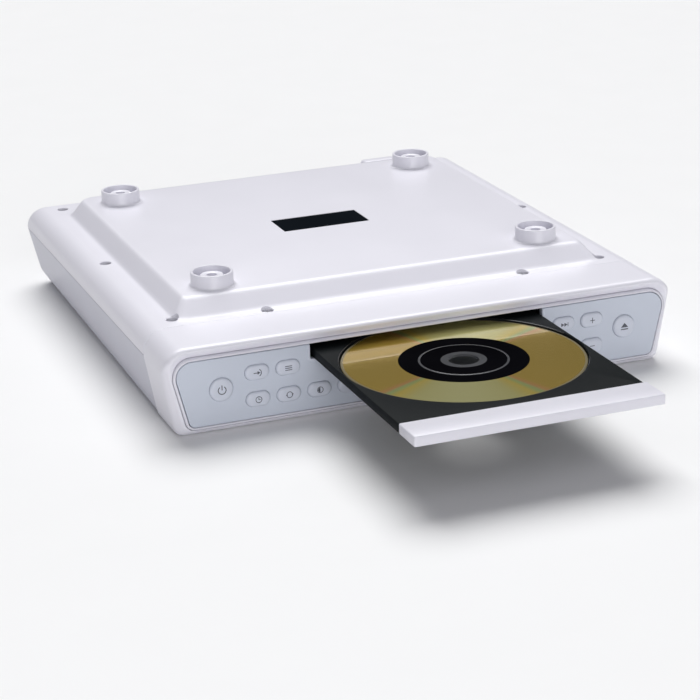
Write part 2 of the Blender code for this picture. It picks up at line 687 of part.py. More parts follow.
def gear_outline(teeth, slot_at):
    """A spur gear's outline about the origin, with the middle of a gap at the angle slot_at."""
    radius = teeth * TOOTH / 2
    root = radius - 1.0 * TOOTH
    tip = radius + 0.75 * TOOTH
    pitch = 2 * math.pi / teeth
    points = []
    for index in range(teeth):
        middle = slot_at + (index + 0.5) * pitch
        for reach, share in ((root, -0.27), (tip, -0.10), (tip, 0.10), (root, 0.27)):
            angle = middle + share * pitch
            points.append((reach * math.cos(angle), reach * math.sin(angle)))
    return points


def make_drive_train():
    outline = gear_outline(DRIVE_TEETH, math.pi)
    gear = loft("drive_gear", [flat(outline, 26.0 * MM), flat(outline, TRAY_LOW - GAP)], ACETAL)
    gear.location = (DRIVE_X, DRIVE_Y, 0)
    cut(gear, turned(
        "cut_drive_bore", [(2.0 * MM, 20 * MM), (2.0 * MM, 40 * MM)], gear.location, None, steps=12))

    pinion = gear_outline(SMALL_TEETH, math.pi + math.pi / SMALL_TEETH)
    wheel = loft("pulley_gear", [flat(pinion, PULLEY_HIGH - 0.5 * MM), flat(pinion, 28.8 * MM)], ACETAL)
    wheel.location = (PULLEY_X, DRIVE_Y, 0)
    rim = PULLEY_RADIUS
    profile = [(rim, PULLEY_LOW), (rim, PULLEY_HIGH)]
    weld(wheel, turned("pulley_rim", profile, wheel.location, None))

    small = MOTOR_PULLEY_RADIUS
    place = (MOTOR_X, DRIVE_Y, 0)
    turned("motor_pulley", [(small, PULLEY_LOW), (small, PULLEY_HIGH)], place, ACETAL, steps=16)
    motor = [(10.0 * MM, 6.0 * MM), (10.0 * MM, 20.6 * MM), (3.0 * MM, 20.6 * MM), (3.0 * MM, 21.6 * MM)]
    turned("loading_motor", motor, place, STEEL)
    loops = []
    for offset in (0.3 * MM, 1.5 * MM):
        loops.append(belt_outline(PULLEY_RADIUS + offset, MOTOR_PULLEY_RADIUS + offset))
    low, high = 22.9 * MM, 24.1 * MM
    rows = [flat(loops[0], low), flat(loops[1], low), flat(loops[1], high), flat(loops[0], high)]
    loft("loading_belt", rows, RUBBER, ring=True)


def belt_outline(wide, narrow):
    """The loop that runs round the large pulley and the motor pulley without crossing."""
    distance = MOTOR_X - PULLEY_X
    lean = math.acos((wide - narrow) / distance)
    points = []
    steps = 12
    for step in range(steps + 1):
        angle = lean + (2 * math.pi - 2 * lean) * step / steps
        points.append((PULLEY_X + wide * math.cos(angle), DRIVE_Y + wide * math.sin(angle)))
    for step in range(steps // 2 + 1):
        angle = -lean + 2 * lean * step / (steps // 2)
        points.append((MOTOR_X + narrow * math.cos(angle), DRIVE_Y + narrow * math.sin(angle)))
    return points


def make_loader_base():
    inner, outer = 62.8 * MM, 65.2 * MM
    low, floor, high = 3.2 * MM, 5.2 * MM, 40.2 * MM
    channel = [
        (-outer, low), (outer, low), (outer, high), (inner, high),
        (inner, floor), (-inner, floor), (-inner, high), (-outer, high),
    ]
    front, rear = FRONT + 9.8 * MM, FRONT + 186.0 * MM
    base = loft("loader_base", [upright(channel, front), upright(channel, rear)], BLACK)
    for name, x in (("drive", DRIVE_X), ("pulley", PULLEY_X)):
        top = 25.6 * MM if name == "drive" else PULLEY_LOW - GAP
        weld(base, turned(
            f"axle_{name}", [(3.5 * MM, floor - MM), (3.5 * MM, top)], (x, DRIVE_Y, 0), None, steps=12))
    weld(base, turned(
        "axle_drive_pin", [(1.6 * MM, floor), (1.6 * MM, 33.0 * MM)], (DRIVE_X, DRIVE_Y, 0), None, steps=12))
    return base


def make_clamp():
    low, high = 41.0 * MM, 43.0 * MM
    outline = rectangle(65.2 * MM, 15.0 * MM, 2 * MM, (0, SPINDLE_Y), 3)
    bridge = loft("clamp_bridge", [flat(outline, low), flat(outline, high)], BLACK)
    cut(bridge, turned(
        "cut_clamp_bore", [(10.0 * MM, 30 * MM), (10.0 * MM, 50 * MM)], (0, SPINDLE_Y, 0), None))
    profile = [
        (13.0 * MM, 37.9 * MM), (13.0 * MM, 40.6 * MM), (9.6 * MM, 40.6 * MM),
        (9.6 * MM, 43.4 * MM), (12.6 * MM, 43.4 * MM), (12.6 * MM, 45.2 * MM),
    ]
    turned("clamp_disc", profile, (0, SPINDLE_Y, 0), WHITE)


# ---------------------------------------------------------------- playing mechanism


def make_traverse():
    front, rear = SPINDLE_Y - 18 * MM, SPINDLE_Y + 80 * MM
    outline = rectangle(38 * MM, (rear - front) / 2, 3 * MM, (0, (front + rear) / 2), 3)
    deck = loft("traverse_deck", [flat(outline, DECK_LOW), flat(outline, DECK_HIGH)], STEEL)
    slot = rectangle(17.5 * MM, 29.5 * MM, MM, (0, SPINDLE_Y + 46 * MM), 2)
    cut(deck, loft("cut_sled_slot", [flat(slot, 0.01), flat(slot, 0.03)], None))
    cut(deck, turned(
        "cut_shaft_hole", [(3.5 * MM, 0.01), (3.5 * MM, 0.03)], (0, SPINDLE_Y, 0), None, steps=12))
    motor = [(11 * MM, 9 * MM), (11 * MM, 19.6 * MM), (2.4 * MM, 19.6 * MM), (2.4 * MM, 24.6 * MM)]
    turned("spindle_motor", motor, (0, SPINDLE_Y, 0), STEEL)
    table = [
        (6 * MM, 25 * MM), (6 * MM, 27.6 * MM), (PLATFORM_RADIUS, 27.6 * MM),
        (PLATFORM_RADIUS, PLATFORM_Z), (HUB_RADIUS, PLATFORM_Z), (HUB_RADIUS, 31.0 * MM),
        (5.6 * MM, 31.9 * MM),
    ]
    turned("turntable", table, (0, SPINDLE_Y, 0), BLACK)

    sled = block(
        "pickup_sled",
        (-16 * MM, LENS_Y - 7 * MM, 16 * MM), (16 * MM, LENS_Y + 12 * MM, 27 * MM), STEEL)
    arm = block(
        "sled_arm",
        (-29 * MM, LENS_Y - 5 * MM, 22.6 * MM), (-12 * MM, LENS_Y + 10 * MM, 26.8 * MM), None)
    weld(sled, arm)
    rod_x, screw_x, rod_z = -25.5 * MM, 22.0 * MM, 24.7 * MM
    rod_front, rod_rear = SPINDLE_Y + 14.5 * MM, SPINDLE_Y + 74 * MM
    middle = (rod_front + rod_rear) / 2
    half = (rod_rear - rod_front) / 2
    cut(sled, turned(
        "cut_rod_bore", [(1.8 * MM, -half), (1.8 * MM, half)], (rod_x, middle, rod_z), None,
        axis="Y", steps=12))
    turned(
        "guide_rod", [(1.5 * MM, -half), (1.5 * MM, half)], (rod_x, middle, rod_z), STEEL,
        axis="Y", steps=12)
    lens = [(4.6 * MM, 27.3 * MM), (4.6 * MM, 28.0 * MM), (2.6 * MM, 28.4 * MM)]
    turned("pickup_lens", lens, (0, LENS_Y, 0), LENS, steps=16)
    tongue = block(
        "sled_tongue",
        (15 * MM, LENS_Y - 2 * MM, 23.8 * MM), (screw_x - 2.2 * MM, LENS_Y + 7 * MM, 25.6 * MM), None)
    weld(sled, tongue)
    turned(
        "feed_screw", [(1.9 * MM, -half), (1.9 * MM, half)], (screw_x, middle, rod_z), STEEL,
        axis="Y", steps=12)
    turned(
        "feed_motor", [(5.2 * MM, 0), (5.2 * MM, 11 * MM)],
        (screw_x + 6 * MM, rod_rear - 13 * MM, DECK_LOW - 5.8 * MM), GREY, axis="Y", steps=16)


make_bottom_case()
make_top_cover()
make_front_bezel()
make_fascia_frame()
make_fascia_panel()
make_keys()
make_display()
make_label()
make_screws()
make_rear_sockets()
make_speaker(-1, "left")
make_speaker(1, "right")
make_boards()
make_tray()
make_flap()
make_disc()
make_drive_train()
make_loader_base()
make_clamp()
make_traverse()
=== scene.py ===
"""Looks of the under-cabinet CD radio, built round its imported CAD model."""

import math

import bmesh
import bpy
from mathutils import Matrix, Vector


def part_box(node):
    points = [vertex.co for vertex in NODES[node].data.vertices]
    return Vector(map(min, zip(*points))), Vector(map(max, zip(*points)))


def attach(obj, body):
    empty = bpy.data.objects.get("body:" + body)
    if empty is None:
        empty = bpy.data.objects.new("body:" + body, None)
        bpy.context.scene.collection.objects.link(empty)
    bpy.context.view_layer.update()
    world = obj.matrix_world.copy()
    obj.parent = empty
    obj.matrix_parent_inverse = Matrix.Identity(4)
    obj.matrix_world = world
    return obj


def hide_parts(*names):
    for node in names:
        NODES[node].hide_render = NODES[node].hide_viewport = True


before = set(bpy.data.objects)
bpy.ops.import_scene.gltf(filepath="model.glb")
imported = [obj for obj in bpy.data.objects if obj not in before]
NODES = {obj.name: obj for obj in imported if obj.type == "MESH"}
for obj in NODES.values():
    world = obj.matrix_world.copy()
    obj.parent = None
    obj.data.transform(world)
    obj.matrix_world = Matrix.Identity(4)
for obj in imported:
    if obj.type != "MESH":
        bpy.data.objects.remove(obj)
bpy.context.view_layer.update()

MM = 0.001
DEPTH = 295.0 * MM
FRONT = -DEPTH / 2
SEAM_Y = FRONT + 36.0 * MM
GAP = 0.15 * MM
WALL = 2.4 * MM
WAIST_Z = 34.6 * MM
FLANGE_Z = 46.6 * MM
PLATEAU_Z = 55.4 * MM
WAIST_HALF = 138.8 * MM
EDGE_ROUND = FLANGE_Z - WAIST_Z
REAR_CORNER = 8.5 * MM
FASCIA_Y = FRONT + 0.2 * MM
SLOT_HALF = 63.3 * MM
SLOT_LOW = 32.1 * MM
DISC_Y = FRONT - 44.2 * MM
DISC_LOW = 35.1 * MM
TRAY_HALF = 61.8 * MM
TRAY_FRONT = FRONT - 113.9 * MM
TRAY_REAR = FRONT + 34.0 * MM
RAIL_LOW = 32.4 * MM
RAIL_TOP = 33.9 * MM
DRIVE_Y = FRONT + 29.0 * MM
SPEAKER_X = 78.0 * MM
SPEAKER_Y = FRONT + 238.0 * MM
SOCKET_Y = DEPTH / 2 - 5.0 * MM
SOCKET_Z = 19.0 * MM
BOSSES = [(side * 91.6 * MM, FRONT + y * MM) for side in (-1, 1) for y in (67.6, 244.6)]

# Angle in radians by which the disc's coloured fans are turned: painted rainbow highlights that stand
# in for its tracks' glints
PAINTED_GLINT_TURN = -0.77

# The camera that matches the photograph: azimuth, elevation and roll in degrees, place in m, lens in mm
CAMERA_TURN = (-20.31, 19.39, -1.83)
CAMERA_PLACE = (-0.40089, -1.11627, 0.39713)
CAMERA_LENS = 113.27

# Half width, front, rear, front corner and rear corner in mm, at the plateau's top and at its foot
PLATEAU_TOP = (110.4, 55.2, 262.4, 3.0, 7.0)
PLATEAU_FOOT = (120.0, 40.9, 267.8, 8.0, 11.0)

# Name, x, outer radius and bore radius in mm
SOCKETS = (
    ("dc_socket", 96.0, 4.6, 2.6),
    ("line_in_socket", 76.0, 3.6, 1.8),
)

ROUND_KEYS = ("power", "eject")

# Name, x and height of the centre in mm, symbol
KEYS = (
    ("key_power", -110.0, 23.4, "power"),
    ("key_source", -91.4, 29.6, "source"),
    ("key_timer", -91.4, 15.6, "clock"),
    ("key_program", -75.3, 29.6, "list"),
    ("key_repeat", -75.3, 15.6, "repeat"),
    ("key_dimmer", -59.2, 15.6, "dimmer"),
    ("key_snooze", -43.1, 15.6, "moon"),
    ("key_play", 43.1, 15.6, "play"),
    ("key_stop", 59.2, 15.6, "stop"),
    ("key_previous", 75.3, 15.6, "previous"),
    ("key_next", 75.3, 29.6, "next"),
    ("key_volume_down", 91.4, 15.6, "minus"),
    ("key_volume_up", 91.4, 29.6, "plus"),
    ("key_eject", 110.0, 23.4, "eject"),
)

# Name, x and distance behind the front in mm, depth of the head under the flange in mm
SCREWS = (
    ("screw_front_left", -71.3, 40.4, 0.9),
    ("screw_front_right", 71.3, 40.4, 0.9),
    ("screw_corner_front_left", -119.6, 47.8, 3.8),
    ("screw_corner_front_right", 119.6, 47.8, 3.8),
    ("screw_side_left", -124.9, 157.2, 3.8),
    ("screw_side_right", 124.9, 157.2, 3.8),
    ("screw_corner_rear_left", -119.6, 275.0, 3.8),
    ("screw_corner_rear_right", 119.6, 275.0, 3.8),
)


# ---------------------------------------------------------------- materials


def finish(name, colour, rough, grain, depth, cloud, metallic=0.0, coat=0.0, **extra):
    """A moulded or plated surface: faint clouds in its colour and sheen, a fine grain in its bump."""
    made = bpy.data.materials.new(name)
    made.use_nodes = True
    tree = made.node_tree
    shader = tree.nodes["Principled BSDF"]
    shader.inputs["Metallic"].default_value = metallic
    shader.inputs["Coat Weight"].default_value = coat
    shader.inputs["Coat Roughness"].default_value = 0.06
    for socket, value in extra.items():
        shader.inputs[socket.replace("_", " ")].default_value = value
    place = tree.nodes.new("ShaderNodeTexCoord")
    coarse = noise(tree, place, 28, 3)
    fine = noise(tree, place, grain, 2)
    ramp(tree, coarse.outputs[0], [
        (0.3, tuple(c * (1 - cloud) for c in colour)),
        (0.7, tuple(min(c * (1 + cloud), 1.0) for c in colour)),
    ], shader.inputs["Base Color"])
    spread = tree.nodes.new("ShaderNodeMapRange")
    spread.inputs["From Min"].default_value = 0.3
    spread.inputs["From Max"].default_value = 0.7
    spread.inputs["To Min"].default_value = rough * 0.96
    spread.inputs["To Max"].default_value = rough * 1.04
    tree.links.new(coarse.outputs[0], spread.inputs["Value"])
    tree.links.new(spread.outputs["Result"], shader.inputs["Roughness"])
    bump(tree, fine.outputs[0], depth, 0.0002, shader)
    return made


def noise(tree, place, scale, detail):
    made = tree.nodes.new("ShaderNodeTexNoise")
    made.inputs["Scale"].default_value = scale
    made.inputs["Detail"].default_value = detail
    tree.links.new(place.outputs["Object"], made.inputs["Vector"])
    return made


def ramp(tree, source, stops, target):
    """A colour ramp from a source socket into a target socket."""
    made = tree.nodes.new("ShaderNodeValToRGB")
    band = made.color_ramp
    while len(band.elements) < len(stops):
        band.elements.new(0.5)
    for element, (position, colour) in zip(band.elements, stops):
        element.position = position
        element.color = (*colour, 1.0)
    tree.links.new(source, made.inputs["Fac"])
    tree.links.new(made.outputs["Color"], target)


def bump(tree, source, strength, distance, shader):
    made = tree.nodes.new("ShaderNodeBump")
    made.inputs["Strength"].default_value = strength
    made.inputs["Distance"].default_value = distance
    tree.links.new(source, made.inputs["Height"])
    tree.links.new(made.outputs["Normal"], shader.inputs["Normal"])


def maths(tree, operation, first, second=None):
    """A maths node's output; each operand is a number or a socket."""
    made = tree.nodes.new("ShaderNodeMath")
    made.operation = operation
    for socket, value in zip(made.inputs, (first, second)):
        if value is None:
            continue
        if isinstance(value, (int, float)):
            socket.default_value = value
        else:
            tree.links.new(value, socket)
    return made.outputs[0]


def disc_dye_and_painted_glints():
    """A recordable disc's dyed track band, with soft rainbow fans painted into its colour: painted
    highlights in place of the glints that its fine tracks throw.
    """
    made = bpy.data.materials.new("disc_tracks")
    made.use_nodes = True
    tree = made.node_tree
    shader = tree.nodes["Principled BSDF"]
    place = tree.nodes.new("ShaderNodeTexCoord")
    split = tree.nodes.new("ShaderNodeSeparateXYZ")
    tree.links.new(place.outputs["Object"], split.inputs[0])
    across = maths(tree, "MULTIPLY", split.outputs["X"], split.outputs["X"])
    along = maths(tree, "MULTIPLY", split.outputs["Y"], split.outputs["Y"])
    radius = maths(tree, "SQRT", maths(tree, "ADD", across, along))
    turn = maths(tree, "ARCTAN2", split.outputs["Y"], split.outputs["X"])
    wave = maths(tree, "SINE", maths(tree, "ADD", maths(tree, "MULTIPLY", turn, 2.0), PAINTED_GLINT_TURN))
    painted_glint = maths(tree, "ADD", maths(tree, "MULTIPLY", wave, 0.5), 0.5)
    # Past the dye's gold, the stops are painted highlights: rainbow and pale bands laid into the colour
    ramp(tree, painted_glint, [
        (0.0, (0.64, 0.44, 0.07)), (0.50, (0.66, 0.45, 0.07)), (0.57, (0.80, 0.42, 0.14)),
        (0.62, (0.50, 0.64, 0.24)), (0.69, (0.86, 0.66, 0.12)), (0.82, (0.78, 0.72, 0.28)),
        (1.0, (0.84, 0.80, 0.36)),
    ], shader.inputs["Base Color"])
    shader.inputs["Metallic"].default_value = 0.72
    shader.inputs["Roughness"].default_value = 0.18
    shader.inputs["Coat Weight"].default_value = 1.0
    shader.inputs["Coat Roughness"].default_value = 0.02
    tracks = maths(tree, "SINE", maths(tree, "MULTIPLY", radius, 9000.0))
    bump(tree, tracks, 0.015, 0.00005, shader)
    return made


WHITE = finish("white_gloss", (0.84, 0.83, 0.90), 0.36, 1800, 0.015, 0.004, coat=0.06)
# The lower housing's material: the cover's white plastic painted darker, as painted shade for its sides
SHADED_SHELL = finish("shell_painted_shade", (0.60, 0.60, 0.68), 0.38, 1500, 0.05, 0.02)
FLAP = finish("flap_gloss", (0.80, 0.79, 0.86), 0.34, 1800, 0.015, 0.012)
FASCIA = finish("fascia_satin", (0.60, 0.64, 0.73), 0.40, 2600, 0.05, 0.02)
KEY = finish("key_satin", (0.64, 0.67, 0.76), 0.36, 2600, 0.03, 0.02)
PRINT = finish("key_print", (0.09, 0.095, 0.12), 0.45, 2600, 0.02, 0.05)
BLACK = finish(
    "black_moulded", (0.008, 0.010, 0.011), 0.45, 1400, 0.16, 0.15, Specular_IOR_Level=0.12, IOR=1.25)
BLACK_GLOSS = finish("black_edge", (0.008, 0.009, 0.010), 0.20, 1400, 0.04, 0.1)
GREY = finish("grey_moulded", (0.16, 0.16, 0.17), 0.5, 1400, 0.1, 0.06)
LENS = finish("dark_lens", (0.015, 0.018, 0.022), 0.07, 900, 0.004, 0.1, coat=0.6)
BOARD = finish("board_mask", (0.02, 0.15, 0.06), 0.42, 700, 0.25, 0.18)
STEEL = finish("plated_steel", (0.55, 0.55, 0.58), 0.28, 3200, 0.06, 0.05, metallic=1.0)
ACETAL = finish("acetal", (0.82, 0.80, 0.72), 0.42, 1600, 0.05, 0.03, Subsurface_Weight=0.05)
RUBBER = finish("rubber_belt", (0.018, 0.018, 0.018), 0.72, 2200, 0.2, 0.1)
CONE = finish("cone_paper", (0.04, 0.04, 0.045), 0.85, 1100, 0.6, 0.2)
LABEL = finish(
    "label_film", (0.004, 0.006, 0.009), 0.34, 900, 0.03, 0.15, Specular_IOR_Level=0.08, IOR=1.1)
INK = finish(
    "disc_ink", (0.003, 0.003, 0.004), 0.4, 900, 0.01, 0.2, Specular_IOR_Level=0.03, IOR=1.02)
CLEAR = finish("disc_hub", (0.060, 0.062, 0.068), 0.22, 900, 0.01, 0.2, Specular_IOR_Level=0.3)
RIM = finish("disc_rim", (0.20, 0.17, 0.10), 0.15, 900, 0.01, 0.1)
OPTIC = finish("optic_coating", (0.10, 0.12, 0.28), 0.05, 900, 0.002, 0.05, coat=0.8)
DISC = disc_dye_and_painted_glints()


# ---------------------------------------------------------------- outlines


def rounded(corners, radii, steps=12):
    """The outline through the corners, each one turned into an arc of its radius."""
    points = []
    for index, corner in enumerate(corners):
        here = Vector(corner)
        before = (Vector(corners[index - 1]) - here).normalized()
        after = (Vector(corners[(index + 1) % len(corners)]) - here).normalized()
        half = before.angle(after) / 2
        radius = radii[index]
        centre = here + (before + after).normalized() * radius / math.sin(half)
        arm = here + before * radius / math.tan(half) - centre
        turn = math.pi - 2 * half
        if before.x * after.y - before.y * after.x > 0:
            turn = -turn
        for step in range(steps + 1):
            angle = turn * step / steps
            cosine = math.cos(angle)
            sine = math.sin(angle)
            spun = Vector((arm.x * cosine - arm.y * sine, arm.x * sine + arm.y * cosine))
            points.append(tuple(centre + spun))
    return points


def rectangle(half_x, half_y, radius, centre=(0, 0), steps=8):
    corners = [(-half_x, -half_y), (half_x, -half_y), (half_x, half_y), (-half_x, half_y)]
    moved = [(x + centre[0], y + centre[1]) for x, y in corners]
    return rounded(moved, [radius] * 4, steps)


def circle(radius, steps=64, centre=(0, 0)):
    turns = [2 * math.pi * step / steps for step in range(steps)]
    return [(centre[0] + radius * math.cos(a), centre[1] + radius * math.sin(a)) for a in turns]


def metres(pairs):
    """Pairs of millimetres as metres."""
    return [(first * MM, second * MM) for first, second in pairs]


def flat(outline, z):
    """An outline laid in the XY plane at height z."""
    return [(x, y, z) for x, y in outline]


def upright(outline, y):
    """An outline stood in the XZ plane at depth y."""
    return [(x, y, z) for x, z in outline]


# ---------------------------------------------------------------- solids


def new_object(name, mesh, finish_of, sharp=30):
    mesh.shade_smooth()
    mesh.set_sharp_from_angle(angle=math.radians(sharp))
    made = bpy.data.objects.new(name, mesh)
    bpy.context.scene.collection.objects.link(made)
    if finish_of:
        mesh.materials.append(finish_of)
    return made


def fill_skin(shape, loops, ring):
    """A skin over the loops in turn: its ends are capped, or a ring's last loop joins its first."""
    rows = [[shape.verts.new(point) for point in loop] for loop in loops]
    pairs = list(zip(rows, rows[1:]))
    if ring:
        pairs.append((rows[-1], rows[0]))
    for first, second in pairs:
        for index in range(len(first)):
            following = (index + 1) % len(first)
            shape.faces.new((first[index], first[following], second[following], second[index]))
    if not ring:
        shape.faces.new(list(reversed(rows[0])))
        shape.faces.new(rows[-1])


def loft(name, loops, finish_of, ring=False, sharp=30):
    return lofts(name, [loops], finish_of, ring, sharp)


def lofts(name, parts, finish_of, ring=False, sharp=30):
    """Several separate skins in one object."""
    shape = bmesh.new()
    for loops in parts:
        fill_skin(shape, loops, ring)
    bmesh.ops.recalc_face_normals(shape, faces=shape.faces)
    mesh = bpy.data.meshes.new(name)
    shape.to_mesh(mesh)
    shape.free()
    return new_object(name, mesh, finish_of, sharp)


def turned_loops(profile, centre=(0, 0, 0), steps=64):
    """Circles about a vertical axis from (radius, height) pairs."""
    return [
        [(x + centre[0], y + centre[1], height + centre[2]) for x, y in circle(radius, steps)]
        for radius, height in profile
    ]


def turned(name, profile, centre, finish_of, axis="Z", steps=64, ring=False, sharp=30):
    made = loft(name, turned_loops(profile, (0, 0, 0), steps), finish_of, ring, sharp)
    turn = {"Z": Matrix(), "Y": Matrix.Rotation(-math.pi / 2, 4, "X")}[axis]
    made.matrix_world = Matrix.Translation(centre) @ turn
    return made


def apply_modifiers(target):
    """Puts the object's modifiers into its mesh."""
    graph = bpy.context.evaluated_depsgraph_get()
    result = bpy.data.meshes.new_from_object(target.evaluated_get(graph))
    target.modifiers.clear()
    target.data = result


def cut(target, tool, sharp=30):
    """Takes a tool away from the target at once, and drops the tool."""
    step = target.modifiers.new("cut", "BOOLEAN")
    step.operation = "DIFFERENCE"
    step.solver = "EXACT"
    step.object = tool
    apply_modifiers(target)
    bpy.data.objects.remove(tool)
    target.data.set_sharp_from_angle(angle=math.radians(sharp))


def bevelled(target, width):
    step = target.modifiers.new("bevel", "BEVEL")
    step.width = width
    step.segments = 3
    step.limit_method = "ANGLE"
    step.angle_limit = math.radians(32)
    step.harden_normals = False
    apply_modifiers(target)
    target.data.shade_smooth()
    target.data.set_sharp_from_angle(angle=math.radians(40))


def stands_for(piece, node, body="housing"):
    """Puts a piece on its body and hides the CAD node that it replaces, if any."""
    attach(piece, body)
    if node:
        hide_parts(node)


# ---------------------------------------------------------------- housing


# The lower housing in mm: height, half width at the seam and at the rear, rear inset, rear corner
CASE_LEVELS = (
    (0.0, 129.0, 126.0, 9.5, 5.0),
    (1.5, 131.5, 128.0, 7.8, 5.5),
    (4.0, 133.0, 130.2, 6.6, 6.0),
    (9.0, 134.2, 133.4, 5.0, 6.5),
    (34.6, 138.8, 138.8, 0.0, 8.5),
)


def plan(z, inset=0.0):
    """The outline of the lower housing at height z, drawn in by an inset."""
    above = next(index for index, level in enumerate(CASE_LEVELS) if index and z <= level[0] * MM)
    low, high = CASE_LEVELS[above - 1], CASE_LEVELS[above]
    share = (z / MM - low[0]) / (high[0] - low[0])
    front_half, rear_half, rear_inset, corner = (
        (first + (second - first) * share) * MM - side * inset
        for first, second, side in zip(low[1:], high[1:], (1, 1, -1, 1)))
    rear = DEPTH / 2 - rear_inset
    front = SEAM_Y + GAP + inset
    corners = [(-front_half, front), (front_half, front), (rear_half, rear), (-rear_half, rear)]
    return rounded(corners, [0.5 * MM, 0.5 * MM, corner, corner])


def cover_plan(half, rear, corner, front=SEAM_Y + GAP):
    """The cover's outline from the seam to the rear."""
    corners = [(-half, front), (half, front), (half, rear), (-half, rear)]
    return rounded(corners, [0.5 * MM, 0.5 * MM, corner, corner])


def plateau_plan(half, front, rear, front_corner, rear_corner):
    """The plateau's outline; the numbers are in mm."""
    corners = [
        (-half * MM, FRONT + front * MM), (half * MM, FRONT + front * MM),
        (half * MM, FRONT + rear * MM), (-half * MM, FRONT + rear * MM)]
    return rounded(corners, [front_corner * MM] * 2 + [rear_corner * MM] * 2)


def doorway(low, high):
    """A tool for the opening behind the fascia that lets the tray through."""
    outline = rectangle(66.5 * MM, 6 * MM, 0.5 * MM, (0, SEAM_Y), 2)
    return [flat(outline, low), flat(outline, high)]


def make_cover():
    rear = DEPTH / 2
    rise = PLATEAU_Z - FLANGE_Z
    loops = []
    steps = 14
    for step in range(steps + 1):
        share = step / steps
        height = PLATEAU_Z - rise * soft_step(share)
        sizes = [top + (foot - top) * share for top, foot in zip(PLATEAU_TOP, PLATEAU_FOOT)]
        loops.append(flat(plateau_plan(*sizes), height))
    arc_steps = 16
    for step in range(arc_steps + 1):
        angle = math.pi / 2 * step / arc_steps
        out = EDGE_ROUND * (1 - math.sin(angle))
        height = WAIST_Z + GAP + (EDGE_ROUND - GAP) * math.cos(angle)
        loops.append(flat(cover_plan(WAIST_HALF - out, rear - out, REAR_CORNER - 0.6 * out), height))
    inner_front = SEAM_Y + GAP + WALL
    for out, height in ((WALL, WAIST_Z + GAP), (5.2 * MM, 41.0 * MM), (10.0 * MM, 44.2 * MM)):
        corner = max(REAR_CORNER - out, 4 * MM)
        loops.append(flat(cover_plan(WAIST_HALF - out, rear - out, corner, inner_front), height))
    loops.append(flat(plateau_plan(114.6, 48.6, 263.4, 4.0, 7.6), 44.2 * MM))
    loops.append(flat(plateau_plan(109.6, 56.6, 260.6, 3.0, 6.4), PLATEAU_Z - WALL))
    cover = loft("cover_skin", loops, WHITE, sharp=28)
    holes = [doorway(30 * MM, 41.2 * MM)]
    pocket = (-0.9 * MM, FRONT + 154 * MM)
    holes.append([
        flat(rectangle(25.1 * MM, 12.3 * MM, 0.3 * MM, pocket, 3), PLATEAU_Z - 0.8 * MM),
        flat(rectangle(25.1 * MM, 12.3 * MM, 0.3 * MM, pocket, 3), PLATEAU_Z - 0.12 * MM),
        flat(rectangle(25.3 * MM, 12.5 * MM, 0.4 * MM, pocket, 3), PLATEAU_Z + 0.2 * MM),
    ])
    for _, x, y, _ in SCREWS:
        place = (x * MM, FRONT + y * MM, FLANGE_Z)
        profile = [(3.1, -8), (3.1, -0.35), (3.5, 0.1), (3.5, 5)]
        holes.append(turned_loops(metres(profile), place, 40))
    cut(cover, lofts("cut_cover", holes, None), 28)
    stands_for(cover, "top_cover")


def make_bosses():
    """Four spigots, each inside a wall; rings of (radius, height over the plateau) in mm."""
    spigot = ((6.0, -0.6), (6.0, 5.2), (5.7, 5.5), (3.1, 5.5), (2.7, 5.2), (2.7, 0.2))
    wall = (
        (12.6, -0.5), (12.6, 0.02), (11.9, 0.14), (11.35, 0.5), (11.1, 1.1), (11.05, 6.9),
        (10.92, 7.25), (10.6, 7.45), (9.9, 7.45), (9.6, 7.2), (9.5, 6.8), (9.5, 0.2), (9.5, -0.5),
    )
    for index, (x, y) in enumerate(BOSSES):
        for word, profile in (("spigot", spigot), ("wall", wall)):
            loops = turned_loops(metres(profile), (x, y, PLATEAU_Z))
            ring = loft(f"boss_{word}_{index}", loops, WHITE, ring=True, sharp=40)
            stands_for(ring, None)


def make_cable_guide():
    """The low block at the rear edge of the flange."""
    outline = metres((
        (73.0, 45.6), (101.0, 45.6), (101.0, 50.2), (100.3, 51.3), (99.2, 52.0),
        (74.8, 52.0), (73.7, 51.3), (73.0, 50.2),
    ))
    loops = [upright(outline, FRONT + y * MM) for y in (275.5, 282.5)]
    guide = loft("cable_guide", loops, WHITE)
    bevelled(guide, 0.5 * MM)
    stands_for(guide, None)


def soft_step(share):
    """Goes from 0 to 1 with a rounded start and a rounded end, and a straight slope between."""
    blend = 0.26
    if share < blend:
        raw = share * share / (2 * blend)
    elif share > 1 - blend:
        raw = 1 - blend - (1 - share) * (1 - share) / (2 * blend)
    else:
        raw = share - blend / 2
    return raw / (1 - blend)


def make_case():
    rim = WAIST_Z - GAP
    levels = (
        (0.0, 0.6), (0.1, 0.3), (0.35, 0.15), (0.8, 0.0), (1.5, -0.06), (2.6, -0.08), (4.0, -0.06),
        (6.2, -0.12), (9.0, 0.15), (12.0, 0.0), (rim / MM * 0.6, 0.0), (rim / MM - 0.35, 0.0),
        (rim / MM, 0.25), (rim / MM, 2.4), (2.4, 2.4))
    loops = [flat(plan(height * MM, inset * MM), height * MM) for height, inset in levels]
    # Its material carries painted shade: the white plastic painted darker
    case = loft("case_skin", loops, SHADED_SHELL)
    holes = [doorway(2.9 * MM, 41 * MM)]
    for side in (-1, 1):
        profile = [(30.0, -1), (30.0, 0.1), (29.3, 0.8), (29.3, 5)]
        place = (side * SPEAKER_X, SPEAKER_Y, 0)
        holes.append(turned_loops(metres(profile), place, 96))
    cut(case, lofts("cut_case", holes, None))
    holes = []
    for _, x, outer, _ in SOCKETS:
        hole = circle((outer + 0.3) * MM, 40, (x * MM, SOCKET_Z))
        holes.append([upright(hole, DEPTH / 2 - 12 * MM), upright(hole, DEPTH / 2 + 3 * MM)])
    cut(case, lofts("cut_case_rear", holes, None))
    stands_for(case, "bottom_case")


